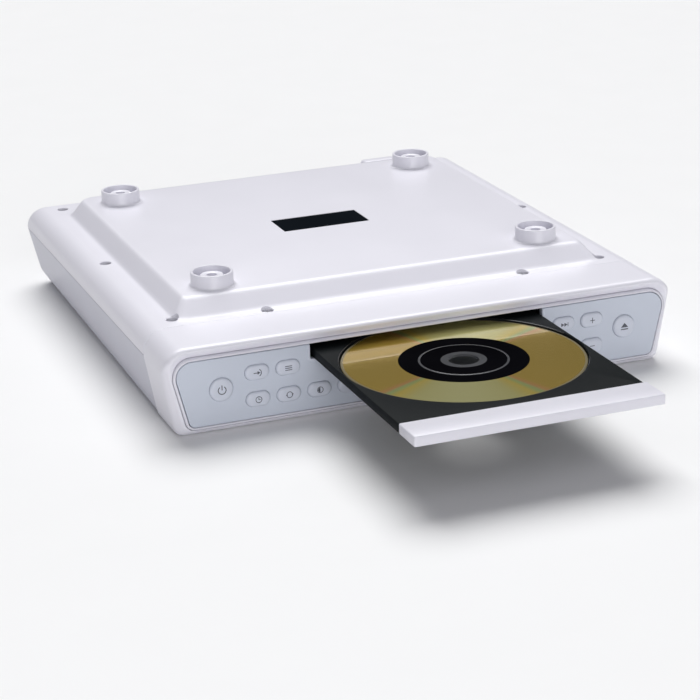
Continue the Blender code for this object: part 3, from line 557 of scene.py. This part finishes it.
def section(low_half, high_half, low, high, low_round, high_round):
    """An upside-down trapezoid in XZ; the numbers are in mm."""
    corners = [(-low_half, low), (low_half, low), (high_half, high), (-high_half, high)]
    radii = [low_round * MM, low_round * MM, high_round * MM, high_round * MM]
    return rounded(metres(corners), radii, 14)


def leaned(outline, side_y, top_y):
    """Stands an outline up with its top edge at another depth than its sides and bottom."""
    points = []
    for x, z in outline:
        share = min(max((z / MM - 33.0) / 9.0, 0.0), 1.0)
        share = share * share * (3 - 2 * share)
        points.append((x, FRONT + (side_y + (top_y - side_y) * share) * MM, z))
    return points


def make_bezel():
    """Stages from the seam round the front: the section, then its depth at the sides and at the top."""
    stages = (
        (132.6, 140.9, 0.0, 46.6, 4.6, 12.0, 36.0, 36.0),
        (132.6, 140.9, 0.0, 46.6, 4.6, 12.0, 10.0, 6.0),
        (132.5, 140.85, 0.05, 46.6, 4.6, 12.0, 8.0, 3.8),
        (132.3, 140.7, 0.25, 46.5, 4.65, 11.9, 6.4, 2.3),
        (131.8, 140.25, 0.8, 46.25, 4.75, 11.7, 5.0, 1.35),
        (131.2, 139.6, 1.5, 45.8, 4.85, 11.3, 3.8, 0.72),
        (130.5, 138.9, 2.2, 45.3, 5.0, 10.9, 2.8, 0.35),
        (129.9, 138.3, 2.8, 44.8, 5.1, 10.6, 2.05, 0.25),
        (129.4, 137.9, 3.1, 44.2, 5.2, 10.4, 1.6, 0.55),
        (128.9, 137.5, 3.35, 43.2, 5.3, 10.2, 1.35, 1.3),
        (128.4, 137.2, 3.5, 42.3, 5.5, 10.1, 1.25, 1.95),
        (128.0, 136.93, 3.6, 41.6, 5.5, 10.0, 1.3, 2.3),
        (128.0, 136.93, 3.6, 41.6, 5.5, 10.0, 7.0, 7.0),
        (124.8, 132.0, 7.6, 39.9, 3.0, 7.0, 7.0, 7.0),
        (124.8, 132.0, 7.6, 39.9, 3.0, 7.0, 9.4, 9.4),
        (130.1, 138.0, 2.4, 44.2, 6.0, 9.8, 9.4, 9.4),
        (130.3, 138.3, 2.4, 44.2, 6.0, 9.8, 36.0, 36.0),
    )
    loops = [leaned(section(*stage[:6]), *stage[6:]) for stage in stages]
    bezel = loft("bezel_skin", loops, WHITE, ring=True, sharp=38)
    stands_for(bezel, "front_bezel")


def fascia_outline(offset):
    """The fascia's outline, pushed outwards by an offset in mm."""
    slope = 8.0 / 34.0
    reach = offset * math.sqrt(1 + slope * slope)
    return section(
        126.4 + reach - offset * slope, 134.4 + reach + offset * slope,
        5.6 - offset, 39.6 + offset, 3.5 + offset, 8.0 + offset)


def make_fascia_frame():
    """The bevelled frame: stages of (offset outwards, depth behind the front) in mm."""
    stages = (
        (1.7, 6.7), (1.7, 1.5), (1.62, 0.9), (1.35, 0.45), (1.0, 0.16), (0.75, 0.1),
        (0.55, 0.12), (0.4, 0.3), (0.32, 0.8), (0.3, 6.7))
    loops = [upright(fascia_outline(offset), FRONT + depth * MM) for offset, depth in stages]
    lip = loft("fascia_lip", loops, FLAP, ring=True, sharp=50)
    stands_for(lip, "fascia_frame")


def make_fascia():
    corners = [
        (-126.4, 5.6), (126.4, 5.6), (134.4, 39.6), (63.3, 39.6), (63.3, 32.1), (-63.3, 32.1),
        (-63.3, 39.6), (-134.4, 39.6)]
    radii = [3.5, 3.5, 8.0, 0.3, 0.8, 0.8, 0.3, 8.0]
    stages = ((0.0, FASCIA_Y + 2.8 * MM), (0.0, FASCIA_Y + 0.25 * MM), (0.22, FASCIA_Y))
    loops = []
    for inset, y in stages:
        grown = inset_corners(corners, inset)
        outline = rounded(metres(grown), [r * MM for r in radii], 12)
        loops.append(upright(outline, y))
    panel = loft("fascia_skin", loops, FASCIA)
    holes = []
    for _, x, z, symbol in KEYS:
        tool = []
        for offset, y in ((0.0, 4.0), (0.0, 0.3), (0.08, 0.18), (0.08, -1.0)):
            outline = key_outline(symbol in ROUND_KEYS, offset * MM)
            moved = [(px + x * MM, pz + z * MM) for px, pz in outline]
            tool.append(upright(moved, FRONT + y * MM))
        holes.append(tool)
    window = []
    for offset, y in ((0.0, 4.0), (0.0, 0.6), (0.4, 0.15), (0.4, -1.0)):
        outline = rectangle(
            (33.0 + offset) * MM, (9.0 + offset) * MM, (1.0 + offset) * MM, (0, 19.6 * MM))
        window.append(upright(outline, FRONT + y * MM))
    holes.append(window)
    cut(panel, lofts("cut_fascia", holes, None))
    stands_for(panel, "fascia_panel")


def inset_corners(corners, inset):
    """Moves the fascia's corners inwards: up from the bottom, in from the sides, down from the slot."""
    low, high = corners[0][1] + inset, corners[2][1] - inset
    slot_low = corners[4][1] - inset
    slot = corners[3][0] + inset
    foot = corners[1][0] - inset
    head = corners[2][0] - inset
    return [
        (-foot, low), (foot, low), (head, high), (slot, high), (slot, slot_low), (-slot, slot_low),
        (-slot, high), (-head, high)]


def slot_outline(offset):
    """The open U of the tray slot as a path from its left top to its right top."""
    half = SLOT_HALF + offset * MM
    low = SLOT_LOW - offset * MM
    radius = (0.8 + offset) * MM
    top = 39.3 * MM
    steps = 8
    points = [(-half, top)]
    for side in (-1, 1):
        for step in range(steps + 1):
            angle = math.pi / 2 * step / steps
            if side > 0:
                angle = math.pi / 2 - angle
            x = side * (half - radius + radius * math.cos(angle))
            z = low + radius - radius * math.sin(angle)
            points.append((x, z))
    points.append((half, top))
    return points


def make_slot_border():
    """A raised border round three sides of the slot, closed at its two ends."""
    stages = ((0.05, 2.6), (0.05, 0.1), (0.2, -0.12), (1.15, -0.12), (1.35, 0.1), (1.35, 0.4))
    loops = [upright(slot_outline(offset), FRONT + y * MM) for offset, y in stages]
    shape = bmesh.new()
    rows = [[shape.verts.new(point) for point in loop] for loop in loops]
    for first, second in zip(rows, rows[1:] + rows[:1]):
        for index in range(len(first) - 1):
            shape.faces.new((first[index], first[index + 1], second[index + 1], second[index]))
    shape.faces.new([row[0] for row in rows])
    shape.faces.new([row[-1] for row in rows])
    bmesh.ops.recalc_face_normals(shape, faces=shape.faces)
    mesh = bpy.data.meshes.new("slot_border")
    shape.to_mesh(mesh)
    shape.free()
    stands_for(new_object("slot_border", mesh, KEY), None)


# ---------------------------------------------------------------- keys


def key_outline(is_round, offset):
    """A key's outline about its centre, pushed outwards by an offset."""
    if is_round:
        return circle(6.25 * MM + offset, 72)
    radius = 4.0 * MM + offset
    return rectangle(6.45 * MM + offset, radius, radius - 0.01 * MM, steps=18)


def ring_part(radius, width, start, end):
    """A band along an arc between two angles in degrees, as a closed outline."""
    steps = 40
    outer = []
    inner = []
    for step in range(steps + 1):
        angle = math.radians(start + (end - start) * step / steps)
        outer.append(((radius + width / 2) * math.cos(angle), (radius + width / 2) * math.sin(angle)))
        inner.append(((radius - width / 2) * math.cos(angle), (radius - width / 2) * math.sin(angle)))
    return outer + inner[::-1]


def bar(x, z, half_x, half_z):
    low, high = z - half_z, z + half_z
    return [(x - half_x, low), (x + half_x, low), (x + half_x, high), (x - half_x, high)]


def wedge(x, z, half_x, half_z, way=1):
    """A solid triangle that points along X."""
    return [(x - way * half_x, z - half_z), (x + way * half_x, z), (x - way * half_x, z + half_z)]


def on_circle(radius, degrees):
    angle = math.radians(degrees)
    return radius * math.cos(angle), radius * math.sin(angle)


def crescent():
    """A moon: a wide arc, closed by a narrower one."""
    inner = [on_circle(1.0, degrees) for degrees in range(280, 79, -10)]
    outer = [on_circle(1.5, degrees) for degrees in range(60, 301, 10)]
    return outer + [(0.55 + 1.1 * x, 1.18 * z) for x, z in inner]


# Outlines in mm about the key's centre
SYMBOLS = {
    "power": [ring_part(2.0, 0.5, 122, 418), bar(0, 1.35, 0.25, 1.3)],
    "source": [bar(-0.9, 0, 1.2, 0.22), wedge(0.7, 0, 0.75, 0.95), ring_part(1.9, 0.4, -62, 62)],
    "clock": [ring_part(1.55, 0.36, 0, 359.9), bar(0, 0.5, 0.17, 0.62), bar(0.42, 0, 0.5, 0.16)],
    "list": [bar(0, 1.0, 1.8, 0.2), bar(0, 0, 1.8, 0.2), bar(0, -1.0, 1.8, 0.2)],
    "repeat": [ring_part(1.5, 0.36, 30, 175), ring_part(1.5, 0.36, 210, 355),
               wedge(-1.62, -0.2, 0.5, 0.6, -1), wedge(1.62, 0.2, 0.5, 0.6)],
    "dimmer": [ring_part(1.5, 0.34, 0, 359.9), ring_part(0.6, 1.2, 90, 270)],
    "moon": [crescent()],
    "play": [wedge(-0.7, 0, 1.0, 1.15), bar(1.1, 0, 0.2, 1.1), bar(1.85, 0, 0.2, 1.1)],
    "stop": [bar(0, 0, 1.05, 1.05)],
    "previous": [
        wedge(0.95, 0, 0.9, 1.05, -1), wedge(-0.85, 0, 0.9, 1.05, -1), bar(-2.0, 0, 0.18, 1.05)],
    "next": [wedge(-0.95, 0, 0.9, 1.05), wedge(0.85, 0, 0.9, 1.05), bar(2.0, 0, 0.18, 1.05)],
    "minus": [bar(0, 0, 1.35, 0.2)],
    "plus": [bar(0, 0, 1.35, 0.2), bar(0, 0.85, 0.2, 0.65), bar(0, -0.85, 0.2, 0.65)],
    "eject": [[(-2.1, -0.35), (2.1, -0.35), (0, 2.1)], bar(0, -1.35, 2.1, 0.3)],
}


def make_keys():
    dome = (
        (0.9, 5.2), (0.9, 3.4), (-0.12, 3.4), (-0.12, 0.0), (-0.22, -0.35), (-0.45, -0.65),
        (-0.8, -0.9), (-1.3, -1.08), (-2.0, -1.22), (-3.0, -1.3),
    )
    for name, x, z, symbol in KEYS:
        is_round = symbol in ROUND_KEYS
        loops = []
        for offset, y in dome:
            outline = key_outline(is_round, offset * MM)
            moved = [(px + x * MM, pz + z * MM) for px, pz in outline]
            loops.append(upright(moved, FRONT + y * MM))
        cap = loft(f"{name}_cap", loops, KEY, sharp=60)
        stands_for(cap, name, f"{name}_body")
        parts = []
        for outline in SYMBOLS[symbol]:
            moved = [((px + x) * MM, (pz + z) * MM) for px, pz in outline]
            parts.append([upright(moved, FRONT - 1.1 * MM), upright(moved, FRONT - 1.325 * MM)])
        mark = lofts(f"{name}_symbol", parts, PRINT)
        stands_for(mark, None, f"{name}_body")


# ---------------------------------------------------------------- tray and disc


def make_tray():
    middle = (TRAY_FRONT + TRAY_REAR) / 2
    half_y = (TRAY_REAR - TRAY_FRONT) / 2
    loops = []
    for inset, height in ((0.3, 33.7), (0.0, 34.0), (0.0, 36.9), (0.12, 37.12), (0.35, 37.2)):
        outline = rectangle(TRAY_HALF - inset * MM, half_y - inset * MM, 1.6 * MM, (0, middle), 6)
        loops.append(flat(outline, height * MM))
    tray = loft("tray_skin", loops, BLACK)
    centre = (0, DISC_Y, 0)
    profile = [
        (60.7, 34.9), (60.7, 36.6), (60.9, 36.95), (61.2, 37.15), (61.2, 45.0)]
    recess = turned_loops(metres(profile), centre, 192)
    cut(tray, lofts("cut_recess", [recess], None))
    profile = [(40.5, 34.5), (40.5, 34.8), (40.8, 35.0), (40.8, 45.0)]
    small = turned_loops(metres(profile), centre, 128)
    cut(tray, lofts("cut_small_recess", [small], None))
    well = rounded(
        [(-19.5 * MM, DISC_Y - 19.5 * MM), (19.5 * MM, DISC_Y - 19.5 * MM),
         (19.5 * MM, DISC_Y + 62 * MM), (-19.5 * MM, DISC_Y + 62 * MM)],
        [19 * MM, 19 * MM, 3 * MM, 3 * MM], 24)
    holes = [[flat(well, 30 * MM), flat(well, 45 * MM)]]
    for side in (-1, 1):
        dent = rectangle(11 * MM, 2.4 * MM, 2.3 * MM, (side * 30 * MM, TRAY_REAR - 6 * MM), 8)
        holes.append([flat(dent, 36.4 * MM), flat(dent, 45 * MM)])
    cut(tray, lofts("cut_well", holes, None))
    stands_for(tray, "tray", "tray_body")


def make_tray_rails():
    """The two rails under the tray, and the rack that the drive gear turns against."""
    parts = []
    start, end = TRAY_FRONT + MM, TRAY_REAR - 3 * MM
    for side in (-1, 1):
        left, right = sorted((side * 59.6 * MM, side * 61.5 * MM))
        outline = [(left, start), (right, start), (right, end), (left, end)]
        parts.append([flat(outline, RAIL_LOW), flat(outline, RAIL_TOP)])
    rails = lofts("tray_rails", parts, BLACK)
    stands_for(rails, None, "tray_body")
    rack = loft("tray_rack", [flat(rack_outline(), RAIL_LOW), flat(rack_outline(), RAIL_TOP)], BLACK)
    stands_for(rack, None, "tray_body")


def rack_outline():
    """A toothed bar along the tray, in step with the drive gear."""
    pitch = math.pi * 0.8 * MM
    rack_x = -55.0 * MM
    start = TRAY_FRONT + MM
    length = TRAY_REAR - start - MM
    root, tip = rack_x - 0.72 * MM, rack_x + 0.6 * MM
    points = [(rack_x - 3 * MM, start + length), (rack_x - 3 * MM, start), (root, start)]
    first = (DRIVE_Y - start) % pitch
    for index in range(int((length - first) / pitch)):
        middle = start + first + index * pitch
        if middle - 0.4 * pitch <= start:
            continue
        points += [
            (root, middle - 0.30 * pitch), (tip, middle - 0.11 * pitch),
            (tip, middle + 0.11 * pitch), (root, middle + 0.30 * pitch)]
    points.append((root, start + length))
    return points


def make_recess_edge():
    """The polished edge round the disc recess, only where the tray is wide enough for it."""
    profile = metres((
        (60.72, 36.3), (60.72, 37.0), (61.0, 37.18), (61.35, 37.18), (61.5, 37.0), (61.5, 36.3)))
    parts = []
    span = 79
    steps = 64
    for middle in (90, 270):
        loops = []
        for step in range(steps + 1):
            angle = math.radians(middle - span + 2 * span * step / steps)
            loops.append([
                (r * math.cos(angle), DISC_Y + r * math.sin(angle), z) for r, z in profile])
        parts.append(loops)
    edge = lofts("recess_edge", parts, BLACK_GLOSS)
    stands_for(edge, None, "tray_body")


def make_flap():
    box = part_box("tray_flap")
    low, high = Vector(box[0]), Vector(box[1])
    half_x = (high.x - low.x) / 2
    half_z = (high.z - low.z) / 2
    middle = (low.z + high.z) / 2
    full = (high.y - low.y) / MM
    stages = ((0.55, 0.0), (0.25, 0.1), (0.08, 0.35), (0.0, 0.8), (0.0, full - 0.3), (0.3, full))
    loops = []
    for inset, depth in stages:
        outline = rectangle(half_x - inset * MM, half_z - inset * MM, 0.7 * MM, (0, middle), 6)
        loops.append(upright(outline, low.y + depth * MM))
    stands_for(loft("flap_skin", loops, FLAP, sharp=50), "tray_flap", "tray_body")


def make_disc():
    centre = (0, DISC_Y, DISC_LOW)
    profile = [
        (7.5, 0.15), (7.65, 0.0), (21.4, 0.0), (59.8, 0.0), (60.0, 0.2), (60.0, 1.0), (59.8, 1.2),
        (58.7, 1.2), (32.0, 1.2), (22.9, 1.2), (22.3, 1.12), (21.4, 1.12), (21.2, 1.2), (17.6, 1.2),
        (17.1, 1.12), (16.6, 1.12), (16.3, 1.2), (11.3, 1.2), (7.65, 1.2), (7.5, 1.05)]
    disc = turned("disc_skin", metres(profile), centre, DISC, steps=192, ring=True, sharp=40)
    for chosen in (INK, CLEAR, RIM):
        disc.data.materials.append(chosen)
    zones = ((11.3, 2), (21.2, 1), (22.4, 2), (32.0, 1), (58.7, 0), (61.0, 3))
    for face in disc.data.polygons:
        reach = Vector(face.center).to_2d().length / MM
        face.material_index = next(index for limit, index in zones if reach < limit)
    stands_for(disc, "disc", "disc_body")


# ---------------------------------------------------------------- small parts


def make_screws():
    for name, x, y, sink in SCREWS:
        top = FLANGE_Z - sink * MM
        profile = [
            (1.2, -9.8), (1.2, -1.7), (2.6, -1.7), (2.6, -0.7), (2.5, -0.4), (2.2, -0.15), (1.7, -0.02)]
        screw = turned(f"{name}_head", metres(profile), (0, 0, 0), STEEL, steps=40)
        for wide, deep in ((1.55, 0.33), (0.33, 1.55)):
            outline = metres(bar(0, 0, wide, deep))
            small = [(px * 0.55, py * 0.55) for px, py in outline]
            cut(screw, loft("cut_cross", [flat(small, -1.1 * MM), flat(outline, 0.1 * MM)], None))
        screw.location = (x * MM, FRONT + y * MM, top)
        stands_for(screw, name)


def make_rear_sockets():
    for name, x, outer, bore in SOCKETS:
        place = (x * MM, SOCKET_Y, SOCKET_Z)
        profile = [
            (outer, -9), (outer, 1.9), (outer - 0.3, 2.2), (bore + 0.4, 2.2), (bore, 1.8), (bore, -5)]
        socket = turned(
            f"{name}_shell", metres(profile), place, BLACK, axis="Y", steps=48)
        stands_for(socket, name)
    pin_x = SOCKETS[0][1]
    pin = turned(
        "dc_pin", metres([(0.9, -5.2), (0.9, 0.6), (0.5, 1.0)]),
        (pin_x * MM, SOCKET_Y, SOCKET_Z), STEEL, axis="Y", steps=24)
    stands_for(pin, None)


def make_speakers():
    """Each speaker's slotted grille in the underside, and the paper cone behind it."""
    for side, word in ((-1, "left"), (1, "right")):
        place = (side * SPEAKER_X, SPEAKER_Y, 0)
        profile = [(28.6, 0.4), (29.0, 0.8), (29.0, 1.6), (28.7, 1.9)]
        grille = turned(
            f"grille_{word}_skin", metres(profile), place, BLACK, steps=96)
        slots = []
        for row in range(-4, 5):
            offset = row * 5.4 * MM
            reach = math.sqrt((26.2 * MM) ** 2 - offset ** 2)
            slot = rectangle(reach, 1.2 * MM, 1.1 * MM, (place[0], place[1] + offset), 6)
            slots.append([flat(slot, -MM), flat(slot, 4 * MM)])
        cut(grille, lofts("cut_grille", slots, None))
        stands_for(grille, f"speaker_grille_{word}")
        cone = [
            (29.2, 2.9), (28.6, 3.7), (27.6, 3.9), (26.6, 3.4), (26.0, 3.5), (11.0, 16.4), (9.4, 15.0),
            (6.0, 13.6), (0.4, 13.0), (0.4, 14.2), (9.0, 16.8), (11.0, 17.6), (26.4, 5.0), (28.8, 4.6)]
        paper = turned(
            f"cone_{word}_skin", metres(cone), place, CONE, steps=72, ring=True)
        stands_for(paper, f"speaker_cone_{word}")


def dress_nodes():
    """Gives every CAD node that still shows its procedural material."""
    finishes = {
        "display_window": LENS, "display_module": GREY, "key_board": BOARD, "main_board": BOARD,
        "rating_label": LABEL, "speaker_frame_left": STEEL, "speaker_frame_right": STEEL,
        "loading_motor": STEEL, "loading_belt": RUBBER, "loader_base": BLACK, "clamp_bridge": BLACK,
        "drive_gear": ACETAL, "pulley_gear": ACETAL, "motor_pulley": ACETAL, "clamp_disc": FLAP,
        "traverse_deck": STEEL, "spindle_motor": STEEL, "guide_rod": STEEL, "feed_motor": GREY,
        "turntable": BLACK, "pickup_sled": STEEL, "pickup_lens": OPTIC, "feed_screw": STEEL,
    }
    for node, chosen in finishes.items():
        piece = NODES[node]
        if not piece.material_slots:
            piece.data.materials.append(chosen)
        for place in piece.material_slots:
            place.material = chosen


# ---------------------------------------------------------------- studio


def make_floor():
    shape = bmesh.new()
    for x, y in ((-4, -4), (4, -4), (4, 4), (-4, 4)):
        shape.verts.new((x, y, 0))
    shape.faces.new(shape.verts)
    mesh = bpy.data.meshes.new("floor")
    shape.to_mesh(mesh)
    shape.free()
    floor = new_object("floor", mesh, finish(
        "floor_paper", (0.87, 0.87, 0.87), 0.6, 300, 0.01, 0.004,
        Specular_IOR_Level=0.2, Emission_Color=(1, 1, 1, 1), Emission_Strength=0.02))


def make_world():
    """A dim sky, a little brighter above and in front, which the camera itself sees as white."""
    world = bpy.data.worlds.new("studio")
    bpy.context.scene.world = world
    world.use_nodes = True
    tree = world.node_tree
    back = tree.nodes["Background"]
    path = tree.nodes.new("ShaderNodeLightPath")
    place = tree.nodes.new("ShaderNodeTexCoord")
    split = tree.nodes.new("ShaderNodeSeparateXYZ")
    tree.links.new(place.outputs["Generated"], split.inputs[0])
    side = maths(tree, "MULTIPLY", split.outputs["X"], -0.02)
    depth = maths(tree, "MULTIPLY", split.outputs["Y"], -0.10)
    height = maths(tree, "MULTIPLY", split.outputs["Z"], 0.12)
    glow = maths(tree, "ADD", maths(tree, "ADD", maths(tree, "ADD", side, height), depth), 0.11)
    dim = tree.nodes.new("ShaderNodeMix")
    dim.data_type = "RGBA"
    dim.inputs[6].default_value = (0.0, 0.0, 0.0, 1.0)
    dim.inputs[7].default_value = (0.97, 0.98, 1.05, 1.0)
    tree.links.new(maths(tree, "MAXIMUM", glow, 0.06), dim.inputs[0])
    tone = tree.nodes.new("ShaderNodeMix")
    tone.data_type = "RGBA"
    tone.inputs[7].default_value = (1.0, 1.0, 1.0, 1.0)
    tree.links.new(dim.outputs[2], tone.inputs[6])
    tree.links.new(path.outputs["Is Camera Ray"], tone.inputs[0])
    tree.links.new(tone.outputs[2], back.inputs["Color"])
    back.inputs["Strength"].default_value = 1.0


def make_suns():
    """Two wide, soft suns: name, the way to it, strength, width in degrees."""
    suns = (
        ("overhead", (0.16, 0.58, 1.0), 2.85, 46),
        ("front", (-0.10, -1.0, 0.22), 1.05, 34),
    )
    for name, way, strength, width in suns:
        sun = bpy.data.lights.new(name, "SUN")
        sun.energy = strength
        sun.angle = math.radians(width)
        lamp = bpy.data.objects.new(name, sun)
        lamp.rotation_euler = Vector(way).to_track_quat("Z", "Y").to_euler()
        bpy.context.scene.collection.objects.link(lamp)


def make_camera():
    azimuth, elevation, roll = (math.radians(angle) for angle in CAMERA_TURN)
    back_way = Vector((
        math.sin(azimuth) * math.cos(elevation),
        -math.cos(azimuth) * math.cos(elevation),
        math.sin(elevation)))
    right = Vector((math.cos(azimuth), math.sin(azimuth), 0))
    up = back_way.cross(right)
    leaned_right = right * math.cos(roll) + up * math.sin(roll)
    leaned_up = up * math.cos(roll) - right * math.sin(roll)
    turn = Matrix((leaned_right, leaned_up, back_way)).transposed().to_4x4()
    data = bpy.data.cameras.new("photo_camera")
    data.lens = CAMERA_LENS
    data.sensor_width = 36.0
    camera = bpy.data.objects.new("photo_camera", data)
    camera.matrix_world = Matrix.Translation(CAMERA_PLACE) @ turn
    scene = bpy.context.scene
    scene.view_settings.view_transform = "Standard"
    scene.collection.objects.link(camera)
    scene.camera = camera


make_floor()
make_world()
make_suns()
make_camera()
make_cover()
make_bosses()
make_cable_guide()
make_case()
make_bezel()
make_fascia_frame()
make_fascia()
make_slot_border()
make_keys()
make_tray()
make_recess_edge()
make_tray_rails()
make_flap()
make_disc()
make_screws()
make_rear_sockets()
make_speakers()
dress_nodes()

bpy.context.view_layer.update()
